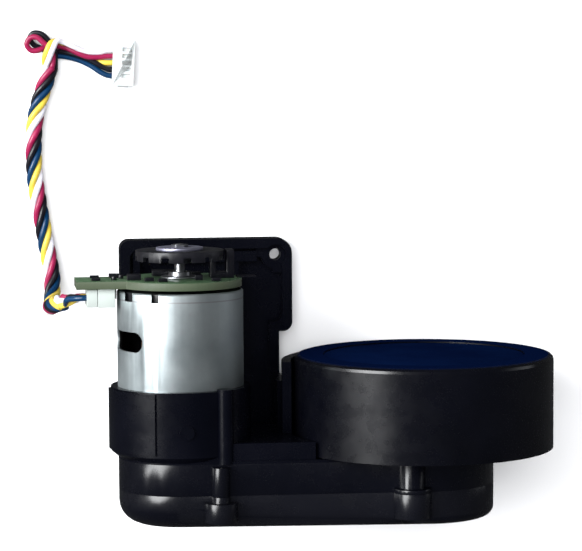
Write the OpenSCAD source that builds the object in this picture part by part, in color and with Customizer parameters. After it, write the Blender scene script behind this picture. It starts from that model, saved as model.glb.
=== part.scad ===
// Lidar scanner module: belt-driven rotating scanner drum, encoder motor and wire loom.
// Modules are drawn upright (motor and drum axes along +Z, front at -Y) and laid on the back
// plate by lay(): row X = upright x, row Y = upright z, row Z = axis_h minus upright y.

/* [Layout] */
// Height of the motor and drum axes above the back plate's rear face
axis_h = 32;
// [28:0.5:40]
// Distance between the motor axis and the drum axis
axis_gap = 54.2;
// [50:0.1:60]

/* [Drum] */
// Outer radius of the rotating drum
drum_r = 28.8;
// [24:0.1:32]
// Underside of the drum along the axis
drum_z0 = 15.3;
// [15:0.1:17]
// Top face of the drum along the axis
drum_z1 = 36.0;
// [30:0.1:40]
// Wall thickness of the drum shell
drum_wall = 1.5;
// [1.2:0.1:2.5]

/* [Case] */
// Radius of the case end around the motor
case_r1 = 13.85;
// [12:0.05:16]
// Radius of the case end under the drum
case_r2 = 15.5;
// [14:0.05:17]
// Top of the bottom shell
seam_low = 7.5;
// [6:0.1:9]
// Top of the middle shell
seam_high = 14.4;
// [13:0.1:15]
// Wall thickness of the two shells
case_wall = 1.7;
// [1.4:0.1:2.4]

/* [Motor] */
// Outer radius of the motor can
can_r = 13.85;
// [13:0.05:15]
// Lower face of the motor can
can_z0 = 18.3;
// [17:0.1:20]
// Upper rim of the motor can
can_z1 = 51.3;
// [45:0.1:55]
// Radius of the motor shaft
shaft_r = 1.15;
// [1:0.05:1.6]

/* [Drive] */
// Working radius of the motor pulley
pulley_r1 = 4.0;
// [3:0.1:6]
// Working radius of the drum pulley
pulley_r2 = 12.0;
// [9:0.1:12.4]
// Radius of the fixed spindle
spindle_r = 3.0;
// [2:0.1:4]

/* [Mounting] */
// Radius of the screw holes in the back plate
hole_r = 1.35;
// [1.1:0.05:2]
// Thickness of the back plate's screw pads
pad_t = 4.4;
// [3:0.1:6]

/* [Loom] */
// Diameter of the twisted five-wire loom
loom_d = 3.8;
// [3:0.1:5]
// Diameter of one insulated wire
wire_d = 1.3;
// [1:0.05:1.8]

/* [Hidden] */
origin_x = 30.05;
origin_y = 30.6;
socket_r = 15.4;
board_z = 52.0;
board_t = 1.7;
belt_z0 = 4.9;
belt_z1 = 9.9;
hub_r = 8.0;
fend_in = drum_r + 0.9;
fend_out = fend_in + 2.0;
plate_x0 = -11.6;
plate_x1 = 28.0;
plate_xs = 24.9;
boss_z = 2.0;
socket_z1 = 30.2;
deck_h = 4.4;
plate_zs = 38.6;
plate_z1 = 60.1;
rim_h = 6.0;
floor_t = 2.4;
black = [0.05, 0.05, 0.06];
steel = [0.72, 0.73, 0.75];
copper = [0.72, 0.42, 0.22];
white = [0.93, 0.92, 0.88];

// Puts the middle of the module's footprint at the row's origin
module place() {
  translate([-origin_x, -origin_y, 0])
    children();
}

module lay() {
  place()
    translate([0, 0, axis_h])
      rotate([-90, 0, 0])
        children();
}

// Belt-shaped outline round both axes
module stadium(r1, r2) {
  k = (r1 - r2) / axis_gap;
  s = sqrt(1 - k * k);
  // the straight sides cut the end circles at a small angle, so no edge is tangent
  p1 = r1 - 0.03;
  p2 = r2 - 0.03;
  union() {
    circle(r = r1, $fn = 96);
    translate([axis_gap, 0])
      circle(r = r2, $fn = 96);
    polygon([[p1 * k, p1 * s], [p1 * k, -p1 * s],
      [axis_gap + p2 * k, -p2 * s], [axis_gap + p2 * k, p2 * s]]);
  }
}

module ring(r_out, r_in, h) {
  difference() {
    cylinder(r = r_out, h = h, $fn = 96);
    translate([0, 0, -1])
      cylinder(r = r_in, h = h + 2, $fn = 96);
  }
}

// Solid of revolution with a rounded lower edge
module dished(r, h, f) {
  rotate_extrude($fn = 72)
    polygon(concat([[0, 0], [r - f, 0]],
      [for (a = [15:15:75]) [r - f + f * sin(a), f - f * cos(a)]],
      [[r, f], [r, h], [0, h]]));
}

front_screw_1 = [7.3, -14.6];
front_screw_2 = [49.0, -15.6];
back_screw_1 = [7.3, 14.6];
back_screw_2 = [49.0, 15.4];
plate_hole_1 = [24.3, 56.3];
plate_hole_2 = [-8.0, 33.0];

module shell_screws() {
  for (p = [front_screw_1, front_screw_2, back_screw_1, back_screw_2])
    translate([p[0], p[1], 0])
      children();
}

// ---------------------------------------------------------------- case

module lower_case() {
  color(black) lay() {
    difference() {
      union() {
        hull() {
          dished(case_r1, seam_low, 5.0);
          translate([axis_gap, 0, 0])
            dished(case_r2, seam_low, 2.2);
        }
        for (p = [front_screw_1, back_screw_1])
          translate([p[0], p[1], boss_z]) {
            cylinder(r = 3.6, h = 6.2 - boss_z, $fn = 48);
            cylinder(r = 1.95, h = seam_low - boss_z, $fn = 40);
          }
        for (p = [front_screw_2, back_screw_2])
          translate([p[0], p[1], boss_z])
            cylinder(r = 4.1, h = seam_low - boss_z, $fn = 48);
      }
      translate([0, 0, 3.0])
        linear_extrude(height = 10)
          stadium(case_r1 - 3.2, case_r2 - case_wall);
      shell_screws() {
        translate([0, 0, -1])
          cylinder(r = 1.3, h = 12, $fn = 32);
        translate([0, 0, -1])
          cylinder(r = 2.5, h = boss_z + 2.4, $fn = 32);
      }
    }
    translate([axis_gap, 0, 2.6])
      difference() {
        cylinder(r = 5.2, h = 1.6, $fn = 48);
        cylinder(r = spindle_r, h = 4, $fn = 48);
      }
  }
}

module upper_case() {
  color(black) lay()
    difference() {
      union() {
        translate([0, 0, seam_low])
          linear_extrude(height = seam_high - seam_low)
            stadium(case_r1, case_r2);
        translate([front_screw_1[0], front_screw_1[1], seam_low])
          cylinder(r = 1.95, h = seam_high - seam_low - 0.5, $fn = 40);
        translate([front_screw_2[0], front_screw_2[1], seam_low])
          cylinder(r = 4.1, h = 1.0, $fn = 48);
        translate([front_screw_2[0], front_screw_2[1], seam_low])
          cylinder(r = 2.7, h = seam_high - seam_low, $fn = 40);
        translate([back_screw_1[0], back_screw_1[1], seam_low])
          cylinder(r = 1.95, h = seam_high - seam_low - 0.5, $fn = 40);
        translate([back_screw_2[0], back_screw_2[1], seam_low])
          cylinder(r = 2.5, h = seam_high - seam_low, $fn = 40);
        // grip edge of the lid along the right-hand end
        translate([axis_gap, 0, seam_high - 1.4])
          cylinder(r = case_r2 + 0.35, h = 1.4, $fn = 96);
      }
      translate([0, 0, seam_low - 1])
        linear_extrude(height = 12)
          stadium(case_r1 - case_wall, case_r2 - case_wall);
      shell_screws()
        translate([0, 0, seam_low - 1])
          cylinder(r = 1.05, h = 5, $fn = 32);
    }
}

// ---------------------------------------------------------------- main frame

module plate_outline(g) {
  r1 = 2.2;
  r2 = 3.4;
  // upper wide part with rounded corners, lower part stepped in
  difference() {
    union() {
      translate([plate_x0 + g, seam_high + g])
        square([plate_xs - plate_x0 - 2 * g, plate_z1 - seam_high - 2 * g - r2]);
      translate([plate_x0 + g, plate_zs + g + r1])
        square([plate_x1 - plate_x0 - 2 * g, plate_z1 - plate_zs - 2 * g - r1 - r2]);
      translate([plate_x0 + g, plate_zs + g])
        square([plate_x1 - plate_x0 - 2 * g - r1, 10]);
      translate([plate_x1 - g - r1, plate_zs + g + r1])
        circle(r = r1, $fn = 40);
      translate([plate_x0 + g + r1, plate_z1 - g - r2 - 4])
        square([plate_x1 - plate_x0 - 2 * g - r1 - r2, 4 + r2]);
      translate([plate_x1 - g - r2, plate_z1 - g - r2])
        circle(r = r2, $fn = 48);
      translate([plate_x0 + g, plate_z1 - g - r2 - 4])
        square([4, 4 + r2 - r1]);
      translate([plate_x0 + g + r1, plate_z1 - g - r1])
        circle(r = r1, $fn = 40);
    }
  }
}

module plate_hole(x, z) {
  translate([x, axis_h + 1, z])
    rotate([90, 0, 0])
      cylinder(r = hole_r, h = 20, $fn = 40);
}

module main_frame() {
  color(black) lay()
    difference() {
      union() {
        // motor socket with a tapered foot
        rotate_extrude($fn = 120)
          polygon([[0, seam_high + 0.2], [13.7, seam_high + 0.2], [socket_r, 16.0],
            [socket_r, socket_z1], [0, socket_z1]]);
        // floor plate over the whole case, and its locating step inside the shell
        translate([0, 0, seam_high])
          linear_extrude(height = 0.6)
            stadium(case_r1, case_r2);
        translate([0, 0, seam_high - 2.2])
          linear_extrude(height = 2.2)
            stadium(case_r1 - case_wall - 0.02, case_r2 - case_wall - 0.02);
        // raised deck between the motor and the drum
        translate([0, 0, seam_high])
          linear_extrude(height = deck_h)
            difference() {
              polygon([[0, -13.6], [44, -14.3], [44, 14.3], [0, 13.6]]);
              translate([axis_gap, 0])
                circle(r = fend_in, $fn = 120);
            }
        // front screw post running up the socket
        translate([8.5, -13.1, seam_high])
          cylinder(r = 1.75, h = socket_z1 + 0.4 - seam_high, $fn = 36);
        // stepped panel and arched pad on the socket front
        intersection() {
          rotate_extrude($fn = 120)
            polygon([[14.8, 16.6], [15.95, 16.6], [15.95, socket_z1 - 0.3],
              [14.8, socket_z1 - 0.3]]);
          translate([-17, -17, 16])
            cube([10.2, 17, 15]);
        }
        translate([0, -14.9, 21.6])
          rotate([90, 0, 0])
            cylinder(r = 1.6, h = 0.9, $fn = 36);
        // web back to the plate, left and right cheeks
        translate([0, 0, seam_high])
          linear_extrude(height = 2.6)
            difference() {
              translate([plate_x0, 8])
                square([51.6, axis_h - 8]);
              translate([axis_gap, 0])
                circle(r = fend_in, $fn = 120);
            }
        translate([plate_x0, 8, seam_high])
          cube([2.2, axis_h - 8, 14.6]);
        translate([plate_xs - 2.2, 11, seam_high])
          cube([2.2, axis_h - 11, 14.6]);
        // back plate: tray floor
        translate([0, axis_h, 0])
          rotate([90, 0, 0])
            linear_extrude(height = floor_t)
              plate_outline(0);
        // back plate: rim
        translate([0, axis_h, 0])
          rotate([90, 0, 0])
            linear_extrude(height = rim_h)
              difference() {
                plate_outline(0);
                plate_outline(2.2);
                translate(plate_hole_1)
                  circle(r = 2.4, $fn = 48);
              }
        // screw pads
        translate([0, axis_h, 0])
          rotate([90, 0, 0])
            linear_extrude(height = pad_t) {
              translate(plate_hole_1)
                circle(r = 3.3, $fn = 48);
              translate([plate_hole_1[0] - 4.4, plate_hole_1[1] - 0.6])
                square([5.0, 3.6]);
              translate([plate_hole_1[0] - 0.6, plate_hole_1[1] - 4.2])
                square([3.4, 5.0]);
              translate(plate_hole_2)
                circle(r = 3.4, $fn = 48);
              translate([-11.0, 31.0])
                square([3.0, 4.0]);
            }
        // ledge and upright ribs inside the tray
        translate([-3.5, axis_h - 4.6, 54.8])
          cube([23.5, 3, 2.4]);
        translate([-8.6, axis_h - 5.2, 44.0])
          cube([1.6, 3.4, 14.0]);
        translate([14.5, axis_h - 4.0, 30])
          cube([1.4, 2.0, 25.0]);
        // fender round the back of the drum, with its floor
        difference() {
          translate([axis_gap, 0, 0])
            rotate([0, 0, 62])
              rotate_extrude(angle = 118, $fn = 144)
                polygon([[16.2, 12.4], [fend_out, 12.4], [fend_out, 34.6],
                  [fend_in, 34.6], [fend_in, seam_high + 0.6], [12, seam_high + 0.6],
                  [12, seam_high], [16.2, seam_high]]);
          translate([0, 0, 11])
            linear_extrude(height = seam_high - 11)
              stadium(case_r1 + 0.6, case_r2 + 0.7);
          translate([back_screw_2[0], back_screw_2[1], 11])
            cylinder(r = 3.0, h = seam_high - 11, $fn = 40);
        }
        // foot that carries the drum end on the back plate's level
        translate([46, axis_h - 4, 12.4])
          difference() {
            cube([16, 4, 21.6]);
            translate([axis_gap - 46, 4 - axis_h, -1])
              cylinder(r = fend_in + 0.6, h = 30, $fn = 144);
          }
      }
      // motor bore, front boss, shaft and screw holes
      translate([0, 0, can_z0])
        cylinder(r = can_r, h = 20, $fn = 120);
      translate([0, 0, 16.2])
        cylinder(r = 5.0, h = 5, $fn = 60);
      translate([0, 0, 10])
        cylinder(r = 3.0, h = 10, $fn = 40);
      for (s = [-1, 1])
        translate([s * 8, 0, 10]) {
          cylinder(r = 1.3, h = 10, $fn = 32);
          cylinder(r = 2.6, h = 5.6, $fn = 32);
        }
      // hub opening
      translate([axis_gap, 0, 10])
        cylinder(r = hub_r + 0.9, h = 10, $fn = 72);
      // mounting holes
      plate_hole(plate_hole_1[0], plate_hole_1[1]);
      plate_hole(plate_hole_2[0], plate_hole_2[1]);
    }
}

module case_screws() {
  color(steel) lay() {
    for (p = [front_screw_1, back_screw_1, front_screw_2, back_screw_2])
      translate([p[0], p[1], boss_z + 0.2])
        difference() {
          union() {
            cylinder(r = 2.2, h = 1.2, $fn = 32);
            cylinder(r = 1.0, h = 8.8, $fn = 32);
          }
          translate([0, 0, -0.1])
            cylinder(r = 0.9, h = 0.8, $fn = 6);
        }
  }
}

// ---------------------------------------------------------------- motor

module motor_can() {
  color(steel) lay()
    difference() {
      union() {
        translate([0, 0, can_z0])
          rotate_extrude($fn = 120)
            polygon([[5.0, 0], [can_r - 1.0, 0], [can_r - 0.3, 0.3], [can_r, 1.0],
              [can_r, can_z1 - can_z0 - 0.3], [can_r - 0.3, can_z1 - can_z0],
              [can_r - 1.0, can_z1 - can_z0], [can_r - 1.0, 1.2], [5.0, 1.2]]);
        translate([0, 0, 16.25])
          ring(5.0, 3.4, 3.2);
      }
      // side vents
      for (a = [0, 180])
        rotate([0, 0, a])
          translate([0, 0, 40.6]) {
            // the slot's straight run stays just inside its round ends
            rotate([0, 0, 180.2])
              rotate_extrude(angle = 39.6, $fn = 120)
                translate([11, -2.17])
                  square([5, 4.34]);
            for (e = [180.2, 219.8])
              rotate([0, 0, e])
                translate([11, 0, 0])
                  rotate([0, 90, 0])
                    cylinder(r = 2.2, h = 5, $fn = 40);
          }
      // rim notches
      for (x = [-6.4, -11.7])
        translate([x - 0.75, -16, 49.4])
          cube([1.5, 12, 3]);
      for (s = [-1, 1])
        translate([s * 8, 0, 17])
          cylinder(r = 1.35, h = 5, $fn = 32);
    }
}

module motor_endbell() {
  color(black) lay()
    difference() {
      translate([0, 0, 48.6])
        cylinder(r = can_r - 1.0, h = 2.6, $fn = 96);
      translate([0, 0, 48])
        cylinder(r = 3.0, h = 5, $fn = 48);
      for (s = [-1, 1])
        translate([s * 9.4 - 1.3, -0.5, 48])
          cube([2.6, 1.0, 4]);
    }
}

module motor_magnets() {
  color([0.25, 0.25, 0.27]) lay()
    for (a = [25, 205])
      translate([0, 0, 22.5])
        rotate([0, 0, a + 75 - 80])
          rotate_extrude(angle = 118, $fn = 96)
            translate([10.0, 0])
              square([2.85, 14.5]);
}

module front_bush() {
  color([0.75, 0.6, 0.35]) lay()
    translate([0, 0, 16.4])
      ring(3.4, shaft_r + 0.03, 3.2);
}

module rear_bush() {
  color([0.75, 0.6, 0.35]) lay()
    translate([0, 0, 48.7])
      ring(3.0, shaft_r + 0.03, 2.4);
}

module brushes() {
  color([0.2, 0.2, 0.2]) lay()
    for (a = [0, 180])
      rotate([0, 0, a])
        translate([0, 0, 44.2]) {
          difference() {
            translate([3.0, -1.2, 0])
              cube([3.6, 2.4, 2.4]);
            translate([0, 0, -1])
              cylinder(r = 3.4, h = 5, $fn = 60);
          }
          translate([6.2, -0.9, 0.3])
            cube([0.4, 1.8, 4.1]);
        }
}

module terminals() {
  color([0.8, 0.7, 0.4]) lay()
    for (s = [-1, 1])
      translate([s * 9.4 - 1.2, -0.4, 48.2])
        cube([2.4, 0.8, 5.4]);
}

module motor_screws() {
  color(steel) lay()
    for (s = [-1, 1])
      translate([s * 8, 0, 14.0])
        difference() {
          union() {
            cylinder(r = 2.4, h = 1.6, $fn = 32);
            cylinder(r = 1.2, h = 5.6, $fn = 32);
          }
          translate([0, 0, -0.1])
            cylinder(r = 1.1, h = 1.0, $fn = 6);
        }
}

// ---------------------------------------------------------------- encoder

module encoder_board() {
  color([0.35, 0.5, 0.3]) lay()
    difference() {
      translate([0, 0, board_z])
        linear_extrude(height = board_t) {
          circle(r = 13.6, $fn = 96);
          translate([-22.9, -6.2])
            square([14, 12.4]);
        }
      translate([0, 0, board_z - 1])
        cylinder(r = 2.2, h = 5, $fn = 48);
      for (s = [-1, 1])
        translate([s * 9.4 - 1.3, -0.5, board_z - 1])
          cube([2.6, 1.0, 4]);
    }
}

module board_collar() {
  color([0.45, 0.46, 0.48]) lay()
    translate([0, 0, board_z + board_t])
      difference() {
        union() {
          cylinder(r = 2.5, h = 1.5, $fn = 40);
          cylinder(r = 4.2, h = 0.5, $fn = 40);
        }
        translate([0, 0, -1])
          cylinder(r = shaft_r + 0.6, h = 4, $fn = 40);
      }
}

module opto_sensor() {
  color([0.12, 0.12, 0.14]) lay()
    translate([0, 0, board_z + board_t]) {
      translate([6.6, -2.2, 0])
        cube([5.2, 4.4, 1.3]);
      translate([10.1, -2.2, 1.1])
        cube([1.7, 4.4, 5.1]);
      translate([6.6, -2.2, 1.1])
        cube([1.2, 4.4, 2.6]);
    }
}

module board_parts() {
  color([0.25, 0.25, 0.26]) lay()
    translate([0, 0, board_z + board_t]) {
      for (q = [[-11.8, -4.2, 3.0, 2.0, 1.3], [-8.2, -7.6, 2.0, 1.25, 0.8],
          [-5.4, -9.4, 2.0, 1.25, 0.7], [2.9, -6.2, 1.6, 1.2, 1.1],
          [-5.6, 5.2, 4.9, 3.9, 1.2], [3.2, 6.8, 2.0, 1.25, 0.7],
          [-19.6, -4.4, 2.0, 1.25, 0.6], [-19.6, 2.4, 2.0, 1.25, 0.6],
          [-15.4, 2.2, 2.2, 2.2, 0.9], [6.2, -9.4, 2.0, 1.25, 0.7]])
        translate([q[0], q[1], 0])
          cube([q[2], q[3], q[4]]);
      for (p = [[-14.6, -2.6], [-12.9, 1.0]])
        translate([p[0], p[1], 0])
          cylinder(r = 0.6, h = 0.8, $fn = 24);
      // sensor leads standing out past the board's edge
      for (y = [-1.5, 1.1])
        translate([12.4, y, 0])
          cube([4.3, 0.4, 0.4]);
    }
}

module wire_header() {
  color(white) lay()
    difference() {
      translate([-18.2, -4.6, 47.9])
        cube([3.7, 9.2, 4.1]);
      translate([-19.3, -4.0, 48.7])
        cube([3.4, 8.0, 2.4]);
    }
}

module header_pins() {
  color([0.85, 0.83, 0.75]) lay()
    for (i = [-2:2]) {
      translate([-16.9, i * 1.5 - 0.2, 49.7])
        cube([2.6, 0.4, 0.4]);
      translate([-14.5, i * 1.5 - 0.2, 49.7])
        cube([0.4, 0.4, 2.3]);
    }
}

// ---------------------------------------------------------------- spindle and bearings

module spindle() {
  color(steel) lay()
    translate([axis_gap, 0, 3.0]) {
      cylinder(r = spindle_r, h = 29.6, $fn = 60);
      translate([0, 0, 1.3])
        cylinder(r = 4.6, h = 1.0, $fn = 60);
    }
}

module spindle_clip() {
  color([0.3, 0.3, 0.32]) lay()
    translate([axis_gap, 0, 31.7])
      ring(5.0, spindle_r, 0.7);
}

module race_spacer() {
  color([0.6, 0.6, 0.62]) lay()
    translate([axis_gap, 0, 0]) {
      translate([0, 0, 5.4])
        ring(4.0, spindle_r, 6.4);
      translate([0, 0, 16.8])
        ring(4.0, spindle_r, 9.9);
    }
}

module inner_race() {
  difference() {
    ring(4.15, spindle_r, 5);
    translate([0, 0, 2.5])
      rotate_extrude($fn = 72)
        translate([4.75, 0])
          circle(r = 1.0, $fn = 24);
  }
}

module outer_race() {
  difference() {
    ring(6.5, 5.35, 5);
    translate([0, 0, 2.5])
      rotate_extrude($fn = 72)
        translate([4.75, 0])
          circle(r = 1.0, $fn = 24);
  }
}

module lower_inner_race() {
  color(steel) lay()
    translate([axis_gap, 0, 11.8])
      inner_race();
}

module upper_inner_race() {
  color(steel) lay()
    translate([axis_gap, 0, 26.7])
      inner_race();
}

module lower_outer_race() {
  color(steel) lay()
    translate([axis_gap, 0, 11.8])
      outer_race();
}

module upper_outer_race() {
  color(steel) lay()
    translate([axis_gap, 0, 26.7])
      outer_race();
}

module bearing_balls() {
  color([0.85, 0.85, 0.87]) lay()
    for (z = [14.3, 29.2])
      for (i = [0:7])
        translate([axis_gap, 0, z])
          rotate([0, 0, i * 45])
            translate([4.75, 0, 0])
              sphere(r = 0.96, $fn = 32);
}

module base_coil() {
  color(copper) lay()
    translate([axis_gap, 0, 15.0])
      ring(13.0, 9.4, 0.6);
}

module drive_belt() {
  color([0.1, 0.1, 0.1]) lay()
    translate([0, 0, belt_z0])
      linear_extrude(height = belt_z1 - belt_z0)
        difference() {
          stadium(pulley_r1 + 0.9, pulley_r2 + 0.9);
          stadium(pulley_r1 + 0.06, pulley_r2 + 0.06);
        }
}

// ---------------------------------------------------------------- rotor

module motor_shaft() {
  color(steel) lay()
    translate([0, 0, 4.2])
      cylinder(r = shaft_r, h = 57.0, $fn = 40);
}

module armature_core() {
  color([0.5, 0.5, 0.52]) lay()
    difference() {
      translate([0, 0, 24.0])
        cylinder(r = 9.6, h = 11.5, $fn = 96);
      translate([0, 0, 20])
        cylinder(r = shaft_r, h = 20, $fn = 40);
      for (i = [0:4])
        rotate([0, 0, i * 72 + 18])
          translate([6.4, 0, 20])
            cylinder(r = 2.0, h = 20, $fn = 32);
      for (i = [0:4])
        rotate([0, 0, i * 72 + 18])
          translate([6.4, -0.6, 20])
            cube([6, 1.2, 20]);
    }
}

module windings() {
  color(copper) lay() {
    for (i = [0:4])
      rotate([0, 0, i * 72 + 18])
        translate([6.4, 0, 24.0])
          cylinder(r = 1.9, h = 11.5, $fn = 32);
    translate([0, 0, 35.5])
      ring(8.6, shaft_r + 1.0, 4.4);
    translate([0, 0, 20.6])
      ring(8.6, shaft_r + 1.0, 3.4);
  }
}

module commutator() {
  color([0.8, 0.5, 0.3]) lay()
    difference() {
      translate([0, 0, 39.9])
        cylinder(r = 3.0, h = 7.6, $fn = 60);
      translate([0, 0, 39])
        cylinder(r = shaft_r, h = 10, $fn = 40);
      for (i = [0:4])
        rotate([0, 0, i * 72])
          translate([2.4, -0.15, 39])
            cube([2, 0.3, 10]);
    }
}

module motor_pulley() {
  color([0.9, 0.88, 0.8]) lay()
    difference() {
      union() {
        translate([0, 0, 4.6])
          cylinder(r = pulley_r1, h = 5.6, $fn = 60);
        translate([0, 0, 3.6])
          cylinder(r = 5.4, h = 1.0, $fn = 60);
        translate([0, 0, 10.2])
          cylinder(r = 5.4, h = 1.0, $fn = 60);
      }
      translate([0, 0, 4.2])
        cylinder(r = shaft_r, h = 10, $fn = 40);
    }
}

module encoder_cup() {
  color([0.16, 0.16, 0.17]) lay()
    difference() {
      union() {
        translate([0, 0, 59.2])
          cylinder(r = 9.7, h = 0.7, $fn = 96);
        translate([0, 0, 57.7])
          ring(9.7, 8.8, 1.6);
        translate([0, 0, 57.0])
          cylinder(r = 2.4, h = 2.4, $fn = 48);
      }
      translate([0, 0, 56])
        cylinder(r = shaft_r, h = 6, $fn = 40);
      for (i = [0:11])
        rotate([0, 0, i * 30 + 6])
          translate([8, -0.95, 57.0])
            cube([3, 1.9, 1.75]);
    }
}

module encoder_plate() {
  color([0.86, 0.87, 0.9]) lay()
    translate([0, 0, 59.9])
      ring(5.2, shaft_r, 0.6);
}

module shaft_nut() {
  color([0.75, 0.75, 0.78]) lay()
    translate([0, 0, 60.5])
      difference() {
        cylinder(r = 1.9, h = 0.6, $fn = 6);
        translate([0, 0, -1])
          cylinder(r = shaft_r, h = 3, $fn = 40);
      }
}

// ---------------------------------------------------------------- turret

module turret_cover() {
  color(black) lay()
    translate([axis_gap, 0, 0])
      rotate_extrude($fn = 180)
        polygon([[drum_r, drum_z0], [drum_r, drum_z1 - 1.2],
          [drum_r - 0.16, drum_z1 - 0.6], [drum_r - 0.6, drum_z1 - 0.16],
          [drum_r - 1.2, drum_z1], [22.4, drum_z1], [22.4, drum_z1 - 0.9],
          [12.0, drum_z1 - 0.9], [12.0, drum_z1 - 2.3],
          [drum_r - drum_wall, drum_z1 - 2.3], [drum_r - drum_wall, drum_z0]]);
}

module turret_disc() {
  color(black) lay()
    translate([axis_gap, 0, drum_z1 - 0.9])
      cylinder(r = 22.35, h = 0.6, $fn = 144);
}

module turret_base() {
  color([0.1, 0.1, 0.11]) lay()
    translate([axis_gap, 0, 0])
      difference() {
        union() {
          translate([0, 0, 16.5])
            cylinder(r = drum_r - drum_wall, h = 1.6, $fn = 144);
          translate([0, 0, 10.9])
            cylinder(r = hub_r, h = 21.0, $fn = 72);
          for (a = [45:90:315])
            rotate([0, 0, a])
              translate([23.6, 0, 16.5])
                cylinder(r = 2.2, h = 17.2, $fn = 36);
        }
        translate([0, 0, 10])
          cylinder(r = 5.6, h = 30, $fn = 60);
        translate([0, 0, 10])
          cylinder(r = 6.5, h = 6.8, $fn = 60);
        translate([0, 0, 26.7])
          cylinder(r = 6.5, h = 10, $fn = 60);
        for (a = [45:90:315])
          rotate([0, 0, a])
            translate([23.6, 0, 15])
              cylinder(r = 0.9, h = 12, $fn = 28);
      }
}

module turret_pulley() {
  color([0.9, 0.88, 0.8]) lay()
    translate([axis_gap, 0, 0])
      difference() {
        union() {
          translate([0, 0, 4.6])
            cylinder(r = pulley_r2, h = 5.6, $fn = 120);
          translate([0, 0, 10.2])
            cylinder(r = 12.5, h = 0.7, $fn = 120);
        }
        translate([0, 0, 4])
          cylinder(r = 4.6 + 0.9, h = 10, $fn = 60);
      }
}

module turret_coil() {
  color(copper) lay()
    translate([axis_gap, 0, 15.9])
      ring(13.0, 9.4, 0.6);
}

module optics_chassis() {
  color([0.18, 0.18, 0.2]) lay()
    translate([axis_gap, 0, 18.1])
      difference() {
        union() {
          translate([-15, -22.5, 0])
            cube([30, 13.5, 2.6]);
          translate([3.0, -21.5, 2.6])
            cube([12.6, 11.0, 11.0]);
          translate([-13.6, -21.0, 2.6])
            cube([8.6, 10.5, 8.6]);
        }
        translate([9.3, 0, 7.6])
          rotate([90, 0, 0])
            cylinder(r = 4.6, h = 30, $fn = 60);
        translate([-9.3, 0, 6.6])
          rotate([90, 0, 0])
            cylinder(r = 2.9, h = 30, $fn = 60);
        translate([0, 0, -1])
          cylinder(r = hub_r + 0.3, h = 30, $fn = 60);
        for (a = [225, 315])
          rotate([0, 0, a])
            translate([23.6, 0, -1])
              cylinder(r = 2.3, h = 30, $fn = 36);
      }
}

module laser_barrel() {
  color([0.7, 0.62, 0.4]) lay()
    translate([axis_gap - 9.3, -10.8, 24.7])
      rotate([90, 0, 0])
        ring(2.9, 1.9, 11.6);
}

module laser_lens() {
  color([0.7, 0.75, 0.9]) lay()
    translate([axis_gap - 9.3, -20.9, 24.7])
      rotate([90, 0, 0])
        cylinder(r = 1.9, h = 1.2, $fn = 40);
}

module receiver_barrel() {
  color([0.1, 0.1, 0.1]) lay()
    translate([axis_gap + 9.3, -12.0, 25.7])
      rotate([90, 0, 0])
        ring(4.6, 3.6, 11.4);
}

module receiver_lens() {
  color([0.6, 0.65, 0.85]) lay()
    translate([axis_gap + 9.3, -21.2, 25.7])
      rotate([90, 0, 0])
        cylinder(r = 3.6, h = 1.6, $fn = 48);
}

module sensor_board() {
  color([0.1, 0.35, 0.2]) lay()
    translate([axis_gap, 0, 0]) {
      translate([2.6, -10.5, 20.7])
        cube([13.4, 1.2, 11.6]);
      translate([6.6, -11.4, 23.0])
        cube([5.4, 0.95, 5.4]);
    }
}

module turret_board() {
  color([0.1, 0.35, 0.2]) lay()
    translate([axis_gap, 0, 0]) {
      difference() {
        translate([0, 0, 19.0])
          linear_extrude(height = 1.2)
            difference() {
              circle(r = 21.0, $fn = 120);
              circle(r = hub_r + 0.4, $fn = 60);
              translate([-30, -60])
                square([60, 51.2]);
            }
      }
      for (p = [[-8, 12], [11, 11], [0, 15]])
        translate([p[0] - 2.5, p[1] - 2.5, 20.2])
          cube([5, 5, 1.0]);
      for (p = [[-14, 3], [14, 3]])
        translate([p[0] - 1.2, p[1] - 1.2, 18.1])
          cube([2.4, 2.4, 0.9]);
    }
}

module turret_screws() {
  color(steel) lay()
    for (a = [45:90:315])
      translate([axis_gap, 0, 0])
        rotate([0, 0, a])
          translate([23.6, 0, 15.7])
            difference() {
              union() {
                cylinder(r = 1.9, h = 0.8, $fn = 32);
                cylinder(r = 0.9, h = 8, $fn = 28);
              }
              translate([0, 0, -0.1])
                cylinder(r = 0.8, h = 0.5, $fn = 6);
            }
}

module balance_weight() {
  color([0.5, 0.5, 0.52]) lay()
    translate([axis_gap, 0, 18.1])
      rotate([0, 0, 60])
        rotate_extrude(angle = 60, $fn = 120)
          translate([22.4, 0])
            square([3.8, 4.6]);
}

// ---------------------------------------------------------------- wire loom

function unit(v) = v / norm(v);
function tangent(p, i) =
  unit((i == len(p) - 1 ? p[i] : p[i + 1]) - (i == 0 ? p[0] : p[i - 1]));

// Tube through the points of p; ref is never parallel to the route
module tube(p, d, n, ref) {
  m = len(p);
  pts = [for (i = [0:m - 1])
    let (t = tangent(p, i), a = unit(cross(t, ref)), b = cross(t, a))
    for (k = [0:n - 1])
      p[i] + (d / 2) * (cos(360 * k / n) * a + sin(360 * k / n) * b)];
  sides = [for (i = [0:m - 2]) for (k = [0:n - 1])
    [i * n + k, i * n + (k + 1) % n, (i + 1) * n + (k + 1) % n, (i + 1) * n + k]];
  caps = [[for (k = [n - 1:-1:0]) k], [for (k = [0:n - 1]) (m - 1) * n + k]];
  polyhedron(points = pts, faces = concat(sides, caps), convexity = 6);
}

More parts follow.
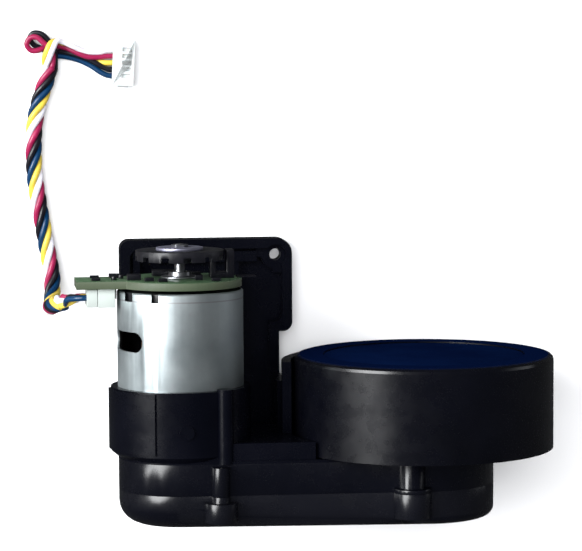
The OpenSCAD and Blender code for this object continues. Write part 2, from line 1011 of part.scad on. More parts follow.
lead_end = [[0.85, -0.6], [0.85, 0.65], [-0.35, -1.0], [-0.4, 1.0], [-1.15, 0.1]];
loom_route = [[-25.4, 48.3, 27.6], [-26.3, 47.9, 25.2], [-27.1, 47.3, 22.4], [-27.6, 46.7, 19],
  [-27.8, 46.1, 15], [-27.7, 45.7, 11], [-27.4, 46.0, 7.5], [-27.1, 47.4, 4.4],
  [-27.0, 49.8, 2.6], [-27.1, 52.8, 2.1], [-28.0, 57.8, 2.1], [-28.9, 63.3, 2.1],
  [-29.8, 68.7, 2.1], [-30.6, 74.7, 2.1], [-30.8, 80.7, 2.1], [-30.5, 86.7, 2.1],
  [-29.4, 91.7, 2.1], [-27.9, 96.1, 2.1], [-26.8, 99.8, 2.2]];

module loom() {
  color([0.5, 0.2, 0.3]) place()
    tube(loom_route, loom_d, 8, [1, 0, 0]);
}

module board_plug() {
  color(white) lay()
    difference() {
      union() {
        translate([-20.6, -3.9, 48.8])
          cube([3.6, 7.8, 2.2]);
        translate([-20.6, -4.6, 48.0])
          cube([2.3, 9.2, 3.8]);
      }
      for (i = [-2:2])
        translate([-21.2, i * 1.5 - 0.45, 49.45])
          cube([1.5, 0.9, 0.9]);
    }
}

module board_leads() {
  color([0.8, 0.3, 0.3]) place()
    for (i = [-2:2]) {
      q = lead_end[i + 2];
      tube([[-20.0, 49.9, 32 + i * 1.5], [-21.3, 49.9, 32 + i * 1.5],
        [-22.7 - 0.25 * i, 49.7 + 0.25 * q[1], 31.4 + i * 1.3],
        [-23.8 - 0.35 * i + 0.3 * q[0], 49.1 + 0.65 * q[1], 29.9 + i * 0.9],
        [-24.8 + 0.8 * q[0], 48.6 + 0.95 * q[1], 28.0 + i * 0.3],
        [-25.7 + q[0], 48.2 + q[1], 26.6 - q[0] * 0.45]],
        0.8, 6, [0, 1, 0]);
    }
}

lead_top = [
  [[-27.2, 98.9, 3.0], [-26.8, 101.5, 3.1], [-25.2, 104.1, 2.6], [-22.2, 105.1, 2.2],
    [-18.1, 104.5, 2.0], [-14.1, 103.7, 1.9], [-12.2, 103.6, 1.9]],
  [[-27.8, 98.9, 2.1], [-30.2, 103.1, 1.9], [-30.8, 106.3, 1.6], [-29.2, 108.4, 1.3],
    [-26.6, 107.5, 1.2], [-24.2, 104.7, 1.2], [-20.6, 103.1, 1.5], [-16.2, 102.3, 1.8],
    [-12.2, 102.1, 1.9]],
  [[-26.2, 98.9, 2.8], [-25.8, 101.1, 3.0], [-24.2, 102.9, 2.9], [-21.1, 102.7, 2.9],
    [-17.1, 101.4, 2.5], [-14.2, 100.7, 1.9], [-12.2, 100.6, 1.9]],
  [[-27.2, 98.9, 1.2], [-28.4, 101.9, 1.0], [-28.2, 104.7, 0.9], [-26.2, 105.3, 0.9],
    [-23.6, 103.4, 0.9], [-20.2, 101.4, 1.1], [-16.0, 99.5, 1.6], [-12.2, 99.1, 1.9]],
  [[-26.0, 98.9, 1.4], [-25.2, 100.9, 1.4], [-23.2, 101.7, 1.4], [-20.0, 100.3, 1.3],
    [-16.6, 98.5, 1.5], [-14.2, 97.7, 1.8], [-12.2, 97.6, 1.9]]];

module connector_leads() {
  color([0.8, 0.3, 0.3]) place()
    for (q = lead_top)
      tube(q, 0.95, 6, [0, 0, 1]);
}

module at_connector() {
  place()
    translate([-10.0, 100.6, 0.05])
      rotate([0, 0, -3])
        children();
}

module loom_connector() {
  color(white)
    at_connector()
      difference() {
        union() {
          translate([-2.6, -5.3, 0.4])
            cube([5.0, 10.6, 3.2]);
          translate([-2.6, -4.3, 0])
            cube([2.0, 8.6, 0.5]);
          translate([-1.2, -5.6, 1.2])
            cube([2.4, 11.2, 1.2]);
        }
        for (i = [-2:2]) {
          translate([-3.2, i * 1.5 - 0.55, 1.35])
            cube([2.4, 1.1, 1.1]);
          translate([-0.4, i * 1.5 - 0.4, 3.0])
            cube([2.0, 0.8, 1.0]);
          translate([0.2, i * 1.5 - 0.45, 1.45])
            cube([3.0, 0.9, 0.9]);
        }
      }
}

module connector_contacts() {
  color([0.85, 0.83, 0.75])
    at_connector()
      for (i = [-2:2])
        translate([0.2, i * 1.5 - 0.35, 1.55])
          difference() {
            cube([1.9, 0.7, 0.7]);
            translate([0.6, 0.15, 0.15])
              cube([2, 0.4, 0.4]);
          }
}

lower_case();
upper_case();
main_frame();
case_screws();
motor_can();
motor_endbell();
motor_magnets();
front_bush();
rear_bush();
brushes();
terminals();
motor_screws();
encoder_board();
board_collar();
opto_sensor();
board_parts();
wire_header();
header_pins();
spindle();
spindle_clip();
race_spacer();
lower_inner_race();
upper_inner_race();
base_coil();
drive_belt();
board_plug();
board_leads();
loom();
connector_leads();
loom_connector();
connector_contacts();
motor_shaft();
armature_core();
windings();
commutator();
motor_pulley();
encoder_cup();
encoder_plate();
shaft_nut();
turret_cover();
turret_disc();
turret_base();
turret_pulley();
lower_outer_race();
upper_outer_race();
bearing_balls();
turret_coil();
optics_chassis();
laser_barrel();
laser_lens();
receiver_barrel();
receiver_lens();
sensor_board();
turret_board();
turret_screws();
balance_weight();
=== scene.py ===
"""Lidar scanner module: camera, light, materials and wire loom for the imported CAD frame.

Metres, +Z up, the module lying on its back plate.
"""
import math

import bmesh
import bpy
from mathutils import Matrix, Vector


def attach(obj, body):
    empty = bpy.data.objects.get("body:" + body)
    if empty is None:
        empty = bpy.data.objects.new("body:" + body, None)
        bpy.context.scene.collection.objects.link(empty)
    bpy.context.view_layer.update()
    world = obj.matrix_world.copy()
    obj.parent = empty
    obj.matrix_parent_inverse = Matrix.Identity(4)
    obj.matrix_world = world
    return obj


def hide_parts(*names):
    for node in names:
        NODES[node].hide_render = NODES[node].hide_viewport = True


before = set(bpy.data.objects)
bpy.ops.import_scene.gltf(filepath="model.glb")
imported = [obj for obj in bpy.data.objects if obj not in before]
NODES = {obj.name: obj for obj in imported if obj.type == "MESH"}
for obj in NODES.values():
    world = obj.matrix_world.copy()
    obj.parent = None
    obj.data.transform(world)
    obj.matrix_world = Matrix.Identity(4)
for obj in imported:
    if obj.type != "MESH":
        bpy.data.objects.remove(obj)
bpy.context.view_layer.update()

# Where the CAD's own origin lies in the row, in millimetres: upright x, upright z, and the
# height of the motor's and drum's axes over the back plate.
OX, OY, H = 30.05, 30.6, 32.0


def P(x, y, z):
    """A point given in the CAD's unshifted millimetres, in the row frame, in metres."""
    return Vector(((x - OX) / 1000, (y - OY) / 1000, z / 1000))


# ---------------------------------------------------------------- camera and light

def look(name, target, distance, yaw, lift, roll, focal):
    """A camera that looks at target; yaw, lift and roll in degrees, focal length in mm."""
    a, e = math.radians(yaw), math.radians(lift)
    d = Vector((-math.sin(a) * math.cos(e), math.sin(e), math.cos(a) * math.cos(e)))
    f = -d
    r = f.cross(Vector((0, 1, 0))).normalized()
    u = r.cross(f)
    c, s = math.cos(math.radians(roll)), math.sin(math.radians(roll))
    r, u = c * r + s * u, c * u - s * r
    cam = bpy.data.objects.new(name, bpy.data.cameras.new(name))
    bpy.context.scene.collection.objects.link(cam)
    m = Matrix((r, u, -f)).transposed().to_4x4()
    m.translation = target + d * distance
    cam.matrix_world = m
    cam.data.sensor_fit = "HORIZONTAL"
    cam.data.sensor_width = 36
    cam.data.lens = focal
    cam.data.clip_start = 0.01
    cam.data.clip_end = 20
    return cam


camera = look("camera", P(24.57, 53.82, 32.0), distance=0.575, yaw=7.0, lift=5.16,
              roll=-0.333, focal=161.3)
bpy.context.scene.camera = camera


def area(name, where, aim, width, height, power, colour):
    """A rectangular soft light at where, facing aim."""
    lamp = bpy.data.lights.new(name, "AREA")
    lamp.energy = power
    lamp.color = colour
    lamp.shape = "RECTANGLE"
    lamp.size = width
    lamp.size_y = height
    o = bpy.data.objects.new(name, lamp)
    bpy.context.scene.collection.objects.link(o)
    o.location = where
    o.rotation_euler = (Vector(aim) - Vector(where)).to_track_quat("-Z", "Y").to_euler()
    return o


area("key", (-0.95, 0.28, 0.60), (0.0, 0.02, 0.02), 0.6, 0.7, 24.0, (0.98, 0.99, 1.0))
area("fill", (1.1, 0.2, 0.1), (0.0, 0.0, 0.02), 0.2, 0.5, 0.45, (0.93, 0.96, 1.0))
# a broad wash that lights the floor and the coloured parts without showing up as a highlight
wash = area("wash", (-0.35, 0.25, 1.5), (0.0, 0.02, 0.0), 1.6, 1.6, 47.0, (0.99, 0.99, 1.0))
wash.visible_glossy = False

bpy.context.scene.view_settings.view_transform = "Standard"
world = bpy.data.worlds.new("world")
bpy.context.scene.world = world
world.use_nodes = True
sky = world.node_tree.nodes["Background"]
sky.inputs["Color"].default_value = (0.93, 0.96, 1.0, 1)
sky.inputs["Strength"].default_value = 0.06


# ---------------------------------------------------------------- materials

def material(name):
    """A new node material, its tree and its shader."""
    m = bpy.data.materials.new(name)
    m.use_nodes = True
    t = m.node_tree
    return m, t, t.nodes["Principled BSDF"]


def node(t, kind, **settings):
    n = t.nodes.new(kind)
    for k, v in settings.items():
        setattr(n, k, v)
    return n


def coords(t, scale=None):
    """Object coordinates in metres, stretched by scale."""
    c = node(t, "ShaderNodeTexCoord")
    if scale is None:
        return c.outputs["Object"]
    m = node(t, "ShaderNodeMapping")
    m.inputs["Scale"].default_value = scale
    t.links.new(c.outputs["Object"], m.inputs["Vector"])
    return m.outputs[0]


def grain(t, where, scale, detail=3.0, rough=0.5):
    """Noise at where, 0 to 1."""
    n = node(t, "ShaderNodeTexNoise")
    n.inputs["Scale"].default_value = scale
    n.inputs["Detail"].default_value = detail
    n.inputs["Roughness"].default_value = rough
    t.links.new(where, n.inputs["Vector"])
    return n.outputs["Fac"]


def span(t, fac, lo, hi, a=0.0, b=1.0):
    """fac, as it goes from a to b, mapped to go from lo to hi."""
    n = node(t, "ShaderNodeMapRange")
    n.inputs["From Min"].default_value = a
    n.inputs["From Max"].default_value = b
    n.inputs["To Min"].default_value = lo
    n.inputs["To Max"].default_value = hi
    t.links.new(fac, n.inputs["Value"])
    return n.outputs[0]


def bump(t, p, height, strength, distance):
    n = node(t, "ShaderNodeBump")
    n.inputs["Strength"].default_value = strength
    n.inputs["Distance"].default_value = distance
    t.links.new(height, n.inputs["Height"])
    t.links.new(n.outputs[0], p.inputs["Normal"])


def mix(t, fac, a, b):
    """Colour mix: a and b are sockets or colours."""
    n = node(t, "ShaderNodeMix", data_type="RGBA")
    for s, v in ((n.inputs[6], a), (n.inputs[7], b)):
        if isinstance(v, tuple):
            s.default_value = (*v, 1)
        else:
            t.links.new(v, s)
    if isinstance(fac, float):
        n.inputs[0].default_value = fac
    else:
        t.links.new(fac, n.inputs[0])
    return n.outputs[2]


def plastic(name, colour, tint, rough, fine=900.0, depth=0.00002, wear=0.0, spec=0.5):
    """Moulded plastic: slow colour drift, uneven polish and a fine moulded skin."""
    m, t, p = material(name)
    c = coords(t)
    slow = grain(t, c, 45.0, 4.0, 0.6)
    base = mix(t, span(t, slow, 0.0, 1.0, 0.35, 0.7), colour, tint)
    if wear:
        g = node(t, "ShaderNodeNewGeometry")
        edge = span(t, g.outputs["Pointiness"], 0.0, wear, 0.52, 0.6)
        base = mix(t, edge, base, tuple(min(1.0, x * 3 + 0.04) for x in colour))
    t.links.new(base, p.inputs["Base Color"])
    cloud = grain(t, c, 160.0, 5.0, 0.65)
    t.links.new(span(t, cloud, rough[0], rough[1], 0.3, 0.7), p.inputs["Roughness"])
    bump(t, p, grain(t, c, fine, 4.0, 0.6), 0.25, depth)
    p.inputs["Specular IOR Level"].default_value = spec
    return m


def metal(name, colour, tint, rough, scale=(1, 1, 1), fine=700.0, depth=0.00001):
    """Bare or plated metal with drawn streaks and slight staining."""
    m, t, p = material(name)
    c = coords(t, scale=scale)
    stain = grain(t, c, 60.0, 5.0, 0.65)
    t.links.new(mix(t, span(t, stain, 0.0, 1.0, 0.3, 0.7), colour, tint), p.inputs["Base Color"])
    p.inputs["Metallic"].default_value = 1.0
    streak = grain(t, c, fine, 3.0, 0.6)
    t.links.new(span(t, streak, rough[0], rough[1], 0.3, 0.7), p.inputs["Roughness"])
    bump(t, p, streak, 0.2, depth)
    return m


def paint_top_reflection(m, colour):
    """Painted reflection: the faces that look up along the axes get the top disc's dark blue, and
    their gloss is turned down.
    """
    t = m.node_tree
    p = t.nodes["Principled BSDF"]
    g = node(t, "ShaderNodeNewGeometry")
    s = node(t, "ShaderNodeSeparateXYZ")
    t.links.new(g.outputs["Normal"], s.inputs[0])
    up = span(t, s.outputs["Y"], 0.0, 1.0, 0.8, 0.98)
    old = p.inputs["Base Color"].links[0].from_socket
    t.links.new(mix(t, up, old, colour), p.inputs["Base Color"])
    t.links.new(span(t, up, 0.4, 0.0), p.inputs["Specular IOR Level"])
    return m


BLACK = (0.0008, 0.001, 0.0024), (0.0018, 0.002, 0.004)
# painted reflection: the dark blue given to the top disc and the drum's top faces in place of
# what they mirror
TOP_PAINTED_REFLECTION = (0.0008, 0.003, 0.016)
PLASTICS = {
    "case": ("case_black", *BLACK, (0.2, 0.32), dict(wear=0.04, spec=0.4)),
    "drum": ("drum_black", (0.0006, 0.0007, 0.0016), (0.0014, 0.0016, 0.0034), (0.22, 0.34),
             dict(fine=1300.0, depth=0.00001, spec=0.22)),
    "frame": ("frame_black", *BLACK, (0.2, 0.32), dict(spec=0.2)),
    # the disc's colours are a painted dark blue reflection, with its own gloss turned off
    "disc": ("disc_black", TOP_PAINTED_REFLECTION, (0.0012, 0.005, 0.024), (0.35, 0.5),
             dict(fine=1500.0, depth=0.000008, spec=0.0)),
    "matte": ("matte_black", (0.005, 0.005, 0.006), (0.01, 0.01, 0.012), (0.4, 0.6),
              dict(fine=1800.0, depth=0.00003)),
    "white": ("white_nylon", (0.46, 0.49, 0.49), (0.54, 0.57, 0.57), (0.3, 0.45),
              dict(fine=1500.0)),
    "plug": ("plug_nylon", (0.32, 0.36, 0.34), (0.4, 0.44, 0.42), (0.3, 0.45),
             dict(fine=1500.0)),
    "pom": ("natural_acetal", (0.8, 0.78, 0.7), (0.86, 0.84, 0.78), (0.3, 0.42), {}),
    "chip": ("chip_black", (0.0015, 0.0015, 0.003), (0.004, 0.004, 0.006), (0.25, 0.4),
             dict(fine=3000.0)),
    "cup": ("cup_black", (0.004, 0.004, 0.006), (0.009, 0.009, 0.012), (0.34, 0.5),
            dict(fine=1500.0)),
    "belt": ("belt_rubber", (0.012, 0.012, 0.012), (0.025, 0.024, 0.023), (0.6, 0.8),
             dict(fine=2200.0, depth=0.00005)),
    "carbon": ("carbon", (0.03, 0.03, 0.03), (0.05, 0.05, 0.05), (0.5, 0.7), {}),
    "green": ("dark_board", (0.01, 0.07, 0.03), (0.02, 0.1, 0.045), (0.3, 0.42),
              dict(fine=2500.0)),
    "ferrite": ("ferrite", (0.006, 0.006, 0.007), (0.012, 0.012, 0.014), (0.5, 0.7), {}),
}
METALS = {
    "steel": ("steel", (0.3, 0.31, 0.33), (0.42, 0.43, 0.45), (0.3, 0.45), {}),
    "bearing": ("bearing_steel", (0.7, 0.71, 0.73), (0.8, 0.8, 0.82), (0.08, 0.18), {}),
    "plate": ("satin_plate", (0.42, 0.42, 0.55), (0.55, 0.55, 0.68), (0.45, 0.6), {}),
    "tin": ("tin", (0.72, 0.7, 0.64), (0.82, 0.8, 0.76), (0.18, 0.35), {}),
    "copper": ("copper", (0.62, 0.27, 0.1), (0.75, 0.36, 0.15), (0.2, 0.4),
               dict(scale=(1, 18, 1), fine=300.0, depth=0.00004)),
    "bronze": ("bronze", (0.5, 0.34, 0.15), (0.62, 0.44, 0.22), (0.3, 0.5), {}),
    "brass": ("brass", (0.6, 0.45, 0.2), (0.72, 0.56, 0.28), (0.15, 0.3), {}),
}
M = {key: plastic(*row[:4], **row[4]) for key, row in PLASTICS.items()}
M.update((key, metal(*row[:4], **row[4])) for key, row in METALS.items())
# the drum's top faces get the painted dark blue reflection
paint_top_reflection(M["drum"], TOP_PAINTED_REFLECTION)
nylon = M["white"].node_tree.nodes["Principled BSDF"]
nylon.inputs["Subsurface Weight"].default_value = 0.15
nylon.inputs["Subsurface Scale"].default_value = 0.001


def glass(name, colour):
    """Coated lens glass, shown as a dark tinted gloss."""
    m, t, p = material(name)
    shade = tuple(x * 0.8 for x in colour)
    t.links.new(mix(t, grain(t, coords(t), 200.0), colour, shade), p.inputs["Base Color"])
    p.inputs["Roughness"].default_value = 0.05
    p.inputs["IOR"].default_value = 1.52
    p.inputs["Coat Weight"].default_value = 0.6
    p.inputs["Coat Tint"].default_value = (0.6, 0.7, 1.0, 1)
    return m


M["lens"] = glass("lens_glass", (0.12, 0.14, 0.22))


ROLLED_LINE = 49.5         # upright z of the line rolled into the can, mm
LINE_HALF = 0.00013        # half its width, m
# painted shade inside the can ends over this distance from the axis
CAN_INSIDE_SHADE = 0.0133, 0.0135  # distance from the axis over which the dark inside ends, m


def zinc():
    """Bright zinc plate on the motor can.

    It has soft blotches, fine drawn lines round the can and a rolled line near the rim.
    """
    m, t, p = material("zinc_can")
    c = coords(t)
    blotch = grain(t, c, 75.0, 6.0, 0.6)
    drawn = grain(t, coords(t, scale=(1, 26, 1)), 90.0, 3.0, 0.6)
    base = mix(t, span(t, blotch, 0.0, 1.0, 0.3, 0.7), (0.4, 0.46, 0.48), (0.58, 0.64, 0.65))
    specks = span(t, grain(t, c, 520.0, 2.0, 0.5), 0.0, 0.3, 0.6, 0.75)
    base = mix(t, specks, base, (0.46, 0.47, 0.5))
    # the rolled line under the rim
    s = node(t, "ShaderNodeSeparateXYZ")
    t.links.new(c, s.inputs[0])
    line = node(t, "ShaderNodeMath", operation="COMPARE")
    line.inputs[1].default_value = (ROLLED_LINE - OY) / 1000
    line.inputs[2].default_value = LINE_HALF
    t.links.new(s.outputs["Y"], line.inputs[0])
    base = mix(t, line.outputs[0], base, (0.4, 0.41, 0.43))
    # painted shade: the inside of the can is coloured dark
    axis = node(t, "ShaderNodeMapping")
    axis.inputs["Location"].default_value = (OX / 1000, 0, -H / 1000)
    t.links.new(c, axis.inputs["Vector"])
    flat = node(t, "ShaderNodeVectorMath", operation="MULTIPLY")
    flat.inputs[1].default_value = (1, 0, 1)
    t.links.new(axis.outputs[0], flat.inputs[0])
    out = node(t, "ShaderNodeVectorMath", operation="LENGTH")
    t.links.new(flat.outputs[0], out.inputs[0])
    base = mix(t, span(t, out.outputs["Value"], 1.0, 0.0, *CAN_INSIDE_SHADE), base, (0.008, 0.008, 0.009))
    t.links.new(base, p.inputs["Base Color"])
    p.inputs["Metallic"].default_value = 0.94
    t.links.new(span(t, blotch, 0.4, 0.54, 0.3, 0.7), p.inputs["Roughness"])
    bump(t, p, drawn, 0.12, 0.00003)
    return m


M["zinc"] = zinc()


def board():
    """Fibreglass board: green solder mask on both faces, yellow-green weave on the cut edge."""
    m, t, p = material("board_pale")
    c = coords(t)
    g = node(t, "ShaderNodeNewGeometry")
    s = node(t, "ShaderNodeSeparateXYZ")
    t.links.new(g.outputs["Normal"], s.inputs[0])
    a = node(t, "ShaderNodeMath", operation="ABSOLUTE")
    t.links.new(s.outputs["Y"], a.inputs[0])
    face = span(t, a.outputs[0], 0.0, 1.0, 0.6, 0.75)
    w = node(t, "ShaderNodeTexWave", wave_type="BANDS", bands_direction="Y")
    w.inputs["Scale"].default_value = 1800.0
    w.inputs["Distortion"].default_value = 2.0
    t.links.new(c, w.inputs["Vector"])
    edge = mix(t, w.outputs["Fac"], (0.034, 0.046, 0.027), (0.064, 0.08, 0.048))
    stain = span(t, grain(t, c, 260.0, 4.0, 0.6), 0.0, 0.6, 0.45, 0.7)
    edge = mix(t, stain, edge, (0.04, 0.06, 0.035))
    tracks = node(t, "ShaderNodeTexVoronoi", feature="DISTANCE_TO_EDGE")
    tracks.inputs["Scale"].default_value = 420.0
    t.links.new(c, tracks.inputs["Vector"])
    track = span(t, tracks.outputs["Distance"], 1.0, 0.0, 0.02, 0.06)
    mask = mix(t, track, (0.05, 0.1, 0.05), (0.09, 0.16, 0.08))
    t.links.new(mix(t, face, edge, mask), p.inputs["Base Color"])
    t.links.new(span(t, face, 0.6, 0.28), p.inputs["Roughness"])
    bump(t, p, track, 0.25, 0.00004)
    return m


M["board"] = board()


def wire_plastic(name, colour):
    """Soft wire insulation, slightly uneven in colour."""
    m, t, p = material(name)
    c = coords(t)
    dark = tuple(x * 0.72 for x in colour)
    drift = span(t, grain(t, c, 240.0, 4.0, 0.6), 0.0, 1.0, 0.35, 0.7)
    t.links.new(mix(t, drift, dark, colour), p.inputs["Base Color"])
    t.links.new(span(t, grain(t, c, 700.0), 0.3, 0.48, 0.3, 0.7), p.inputs["Roughness"])
    bump(t, p, grain(t, c, 1500.0, 3.0, 0.6), 0.25, 0.00003)
    p.inputs["Subsurface Weight"].default_value = 0.06
    p.inputs["Subsurface Scale"].default_value = 0.0006
    return m


WIRES = [
    wire_plastic("wire_yellow", (0.64, 0.48, 0.06)),
    wire_plastic("wire_white", (0.74, 0.73, 0.8)),
    wire_plastic("wire_red", (0.27, 0.01, 0.06)),
    wire_plastic("wire_black", (0.006, 0.006, 0.01)),
    wire_plastic("wire_blue", (0.0, 0.028, 0.085)),
]

# ---------------------------------------------------------------- wire loom

# Routes in the CAD's millimetres, see P.
LOOM = [(-25.4, 48.3, 27.6), (-26.3, 47.9, 25.2), (-27.1, 47.3, 22.4), (-27.6, 46.7, 19),
        (-27.8, 46.1, 15), (-27.7, 45.7, 11), (-27.4, 46.0, 7.5), (-27.1, 47.4, 4.4),
        (-27.0, 49.8, 2.6), (-27.1, 52.8, 2.1), (-28.0, 57.8, 2.1), (-28.9, 63.3, 2.1),
        (-29.8, 68.7, 2.1), (-30.6, 74.7, 2.1), (-30.8, 80.7, 2.1), (-30.5, 86.7, 2.1),
        (-29.4, 91.7, 2.1), (-27.9, 96.1, 2.1), (-26.8, 99.8, 2.2)]
# leads into the connector, top to bottom: white, red, yellow, black, blue; red and black curl
LEAD_TOP = [
    [(-27.0, 101.8, 4.2), (-26.2, 103.8, 4.6), (-25.2, 105.6, 4.2), (-23.6, 105.3, 3.3),
     (-21.6, 104.4, 2.9), (-18.7, 103.2, 2.3), (-15.6, 103.0, 2.0), (-13.6, 103.5, 1.9),
     (-12.2, 103.6, 1.9)],
    [(-26.1, 101.8, 3.2), (-26.8, 103.9, 3.0), (-28.3, 105.3, 3.1), (-29.8, 106.5, 3.0),
     (-31.3, 106.3, 2.6), (-32.0, 104.9, 2.3), (-31.1, 103.6, 2.0), (-29.6, 103.5, 2.0),
     (-27.6, 104.3, 1.3), (-26.2, 104.5, 0.75), (-25.0, 104.5, 0.9), (-22.9, 104.0, 1.6),
     (-20.6, 102.9, 2.3), (-18.2, 102.0, 2.4), (-15.6, 101.9, 2.0), (-13.6, 102.1, 1.9),
     (-12.2, 102.1, 1.9)],
    [(-28.1, 101.4, 2.4), (-27.6, 103.3, 3.9), (-26.6, 105.2, 3.9), (-25.2, 105.6, 2.9),
     (-23.6, 105.0, 1.6), (-21.4, 103.9, 0.8), (-18.7, 102.7, 0.75), (-16.0, 101.0, 1.0),
     (-14.2, 100.6, 1.7), (-12.2, 100.6, 1.9)],
    [(-25.6, 101.8, 1.9), (-25.9, 104.0, 2.0), (-27.4, 106.1, 1.9), (-28.8, 107.3, 1.6),
     (-30.5, 107.4, 1.2), (-31.3, 106.2, 0.9), (-30.4, 104.8, 0.75), (-28.8, 104.0, 0.75),
     (-27.0, 103.2, 0.75), (-25.2, 103.2, 0.8), (-22.6, 102.9, 1.4), (-20.4, 102.3, 1.9),
     (-17.6, 101.2, 1.9), (-14.9, 99.7, 1.9), (-13.4, 99.1, 1.9), (-12.2, 99.1, 1.9)],
    [(-26.2, 101.8, 0.8), (-24.6, 102.2, 0.75), (-22.4, 101.9, 0.75), (-19.8, 101.1, 0.9),
     (-17.4, 99.9, 1.2), (-15.2, 98.4, 1.7), (-13.6, 97.7, 1.9), (-12.2, 97.6, 1.9)]]
# the wires in the order in which both plugs hold them, as numbers in WIRES
LEAD_COLOUR = [1, 2, 0, 3, 4]
# how far each lead of the board plug turns aside before the loom, by its number
LEAD_DRIFT = {-2: (0.85, -0.6), -1: (0.85, 0.65), 0: (-0.35, -1.0), 1: (-0.4, 1.0),
              2: (-1.15, 0.1)}
PITCH = 1.5        # between the leads at the board plug, mm
LEAD_R = 0.00062   # radius of a lead, m
SIDES = 12         # of a wire
STEPS = 8          # to a span of a lead
LOOM_STEPS = 12    # to a span of the loom
LAY = 15.3         # length of one turn of the twist, mm
TWIST_R = 1.2      # from the loom's middle to a wire's middle, mm
WIRE = 1.42        # diameter of a wire in the twist, mm
STRIPE_Y = 74.8    # where the first wire faces up, upright z, mm
FLAT_Z = 6         # the loom is flat on the floor below this height, mm


def smooth(points, per):
    """Catmull-Rom through the points, per steps to a span."""
    p = [Vector(q) for q in points]
    p = [2 * p[0] - p[1]] + p + [2 * p[-1] - p[-2]]
    out = []
    for i in range(1, len(p) - 2):
        a, b, c, d = p[i - 1:i + 3]
        for k in range(per):
            s = k / per
            out.append(0.5 * (2 * b + (c - a) * s + (2 * a - 5 * b + 4 * c - d) * s * s
                              + (3 * b - a - 3 * c + d) * s ** 3))
    out.append(p[-2])
    return out


def frames(line):
    """Tangent and two normals at each point, carried along without twist."""
    out = []
    n = None
    for i, q in enumerate(line):
        t = (line[min(i + 1, len(line) - 1)] - line[max(i - 1, 0)]).normalized()
        if n is None:
            n = t.cross(Vector((1, 0, 0)))
            if n.length < 0.2:
                n = t.cross(Vector((0, 1, 0)))
        n = (n - n.dot(t) * t).normalized()
        out.append((t, n, t.cross(n)))
    return out


def sweep(bm, line, r, mat):
    """Add a closed round tube of radius r along line."""
    turns = [2 * math.pi * k / SIDES for k in range(SIDES)]
    rings = []
    for q, (_, a, b) in zip(line, frames(line)):
        rings.append([bm.verts.new(q + r * (math.cos(w) * a + math.sin(w) * b)) for w in turns])
    for x, y in zip(rings, rings[1:]):
        for k in range(SIDES):
            j = (k + 1) % SIDES
            f = bm.faces.new((x[k], x[j], y[j], y[k]))
            f.material_index = mat
            f.smooth = True
    for ring in (rings[0][::-1], rings[-1]):
        bm.faces.new(ring).material_index = mat


def finish_mesh(bm, name, mats):
    """Turn bm into an object that rides on the base."""
    me = bpy.data.meshes.new(name)
    bm.normal_update()
    bm.to_mesh(me)
    bm.free()
    for m in mats:
        me.materials.append(m)
    o = bpy.data.objects.new(name, me)
    bpy.context.scene.collection.objects.link(o)
    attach(o, "base")
    return o


def board_lead(i):
    """Route of the board plug's lead number i, -2 to 2, as far as the loom."""
    a, b = LEAD_DRIFT[i]
    z = H + PITCH * i
    return [(-19.4, 49.9, z), (-20.6, 49.9, z), (-21.6, 49.88, z),
            (-22.7 - 0.25 * i, 49.7 + 0.25 * b, 31.4 + 1.3 * i),
            (-23.8 - 0.35 * i + 0.3 * a, 49.1 + 0.65 * b, 29.9 + 0.9 * i)]


centre = smooth(LOOM, LOOM_STEPS)
basis = frames(centre)
run = [0.0]
for q, s in zip(centre, centre[1:]):
    run.append(run[-1] + (s - q).length)


def on_strand(k, n, phase):
    """Point n of twisted wire k."""
    _, a, b = basis[n]
    ang = 2 * math.pi * (k / len(WIRES) + run[n] / LAY) + phase
    return centre[n] + TWIST_R * (math.cos(ang) * a + math.sin(ang) * b)


# the flat part's point nearest to STRIPE_Y, where the first wire is turned to face up
middle = min((n for n in range(len(centre)) if centre[n].z <= FLAT_Z),
             key=lambda n: abs(centre[n].y - STRIPE_Y))
phase = math.atan2(basis[middle][2].z, basis[middle][1].z) - 2 * math.pi * run[middle] / LAY
strands = [[on_strand(k, n, phase) for n in range(len(centre))] for k in range(len(WIRES))]
bm = bmesh.new()
for k, line in enumerate(strands):
    sweep(bm, [P(*q) for q in line], WIRE / 2000, k)
loom = finish_mesh(bm, "loom_twisted", WIRES)


# ---------------------------------------------------------------- CAD nodes

WELD = 0.000002     # merge distance, m
FLAT_ANGLE = 0.5    # facets closer to one plane than this are merged, degrees
SHARP_ANGLE = 32    # edges sharper than this are rounded, degrees


def dress(name, mat, edge):
    """Give a CAD node its material and round its sharp edges by edge millimetres.

    With edge 0 the node keeps the frame's own mesh and normals.
    """
    o = NODES[name]
    me = o.data
    me.materials.clear()
    me.materials.append(mat)
    for f in me.polygons:
        f.use_smooth = True
        f.material_index = 0
    if not edge:
        return
    w = o.modifiers.new("weld", "WELD")
    w.merge_threshold = WELD
    flat = o.modifiers.new("flat", "DECIMATE")
    flat.decimate_type = "DISSOLVE"
    flat.angle_limit = math.radians(FLAT_ANGLE)
    b = o.modifiers.new("round", "BEVEL")
    b.width = edge / 1000
    b.segments = 2
    b.limit_method = "ANGLE"
    b.angle_limit = math.radians(SHARP_ANGLE)
    b.use_clamp_overlap = True
    b.harden_normals = True


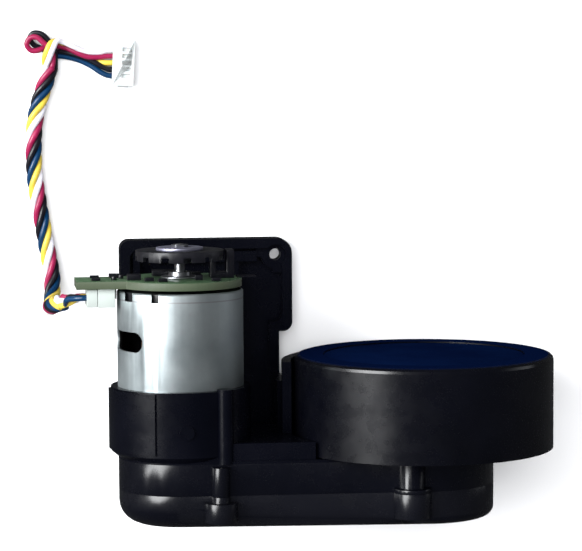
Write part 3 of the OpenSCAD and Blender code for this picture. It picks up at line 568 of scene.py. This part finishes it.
# each node's material and the rounding of its edges in millimetres
LOOKS = {
    "lower_case": ("case", 0.3), "upper_case": ("case", 0.25), "main_frame": ("frame", 0.0),
    "case_screws": ("steel", 0.12), "motor_can": ("zinc", 0.15),
    "motor_endbell": ("matte", 0.15), "motor_magnets": ("ferrite", 0.2),
    "front_bush": ("bronze", 0.1), "rear_bush": ("bronze", 0.1), "brushes": ("carbon", 0.06),
    "terminals": ("tin", 0.08), "motor_screws": ("steel", 0.12),
    "encoder_board": ("board", 0.06), "board_collar": ("steel", 0.1),
    "opto_sensor": ("chip", 0.15), "board_parts": ("chip", 0.08), "wire_header": ("plug", 0.12),
    "header_pins": ("tin", 0.04), "spindle": ("steel", 0.2), "spindle_clip": ("steel", 0.1),
    "race_spacer": ("steel", 0.1), "lower_inner_race": ("bearing", 0.1),
    "upper_inner_race": ("bearing", 0.1), "base_coil": ("copper", 0.1),
    "drive_belt": ("belt", 0.15), "board_plug": ("plug", 0.1),
    "loom_connector": ("white", 0.12), "connector_contacts": ("tin", 0.05),
    "motor_shaft": ("steel", 0.15), "armature_core": ("steel", 0.1),
    "windings": ("copper", 0.2), "commutator": ("bronze", 0.05), "motor_pulley": ("pom", 0.15),
    "encoder_cup": ("cup", 0.08), "encoder_plate": ("plate", 0.08),
    "shaft_nut": ("steel", 0.08), "turret_cover": ("drum", 0.0), "turret_disc": ("disc", 0.1),
    "turret_base": ("matte", 0.15), "turret_pulley": ("pom", 0.2),
    "lower_outer_race": ("bearing", 0.1), "upper_outer_race": ("bearing", 0.1),
    "bearing_balls": ("bearing", 0.0), "turret_coil": ("copper", 0.1),
    "optics_chassis": ("matte", 0.2), "laser_barrel": ("brass", 0.1),
    "laser_lens": ("lens", 0.2), "receiver_barrel": ("matte", 0.1),
    "receiver_lens": ("lens", 0.2), "sensor_board": ("green", 0.05),
    "turret_board": ("green", 0.05), "turret_screws": ("steel", 0.1),
    "balance_weight": ("steel", 0.2),
}
for name, (mat, edge) in LOOKS.items():
    dress(name, M[mat], edge)

# ---------------------------------------------------------------- loom ends

bm = bmesh.new()
for n, i in enumerate(range(-2, 3)):
    k = LEAD_COLOUR[n]
    s = strands[k]
    points = board_lead(i) + [tuple(s[2]), tuple(s[6])]
    sweep(bm, [P(*q) for q in smooth(points, STEPS)], LEAD_R, k)
board_fan = finish_mesh(bm, "board_fan", WIRES)
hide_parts("board_leads")

bm = bmesh.new()
for n, k in enumerate(LEAD_COLOUR):
    s = strands[k]
    points = [tuple(s[-6]), tuple(s[-2])] + LEAD_TOP[n]
    sweep(bm, [P(*q) for q in smooth(points, STEPS)], LEAD_R, k)
top_fan = finish_mesh(bm, "connector_fan", WIRES)
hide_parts("connector_leads")

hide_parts("loom")

# ---------------------------------------------------------------- floor

FLOOR_HALF, FLOOR_Z = 6.0, -0.0002
bm = bmesh.new()
bm.faces.new([bm.verts.new((x * FLOOR_HALF, y * FLOOR_HALF, FLOOR_Z))
              for x, y in ((-1, -1), (1, -1), (1, 1), (-1, 1))])
me = bpy.data.meshes.new("floor")
bm.to_mesh(me)
bm.free()
floor = bpy.data.objects.new("floor", me)
bpy.context.scene.collection.objects.link(floor)
fm, ft, fp = material("pale_floor")
paper = mix(ft, grain(ft, coords(ft), 8.0), (0.9, 0.91, 0.92), (0.95, 0.95, 0.96))
ft.links.new(paper, fp.inputs["Base Color"])
fp.inputs["Roughness"].default_value = 0.9
me.materials.append(fm)
floor.visible_glossy = False
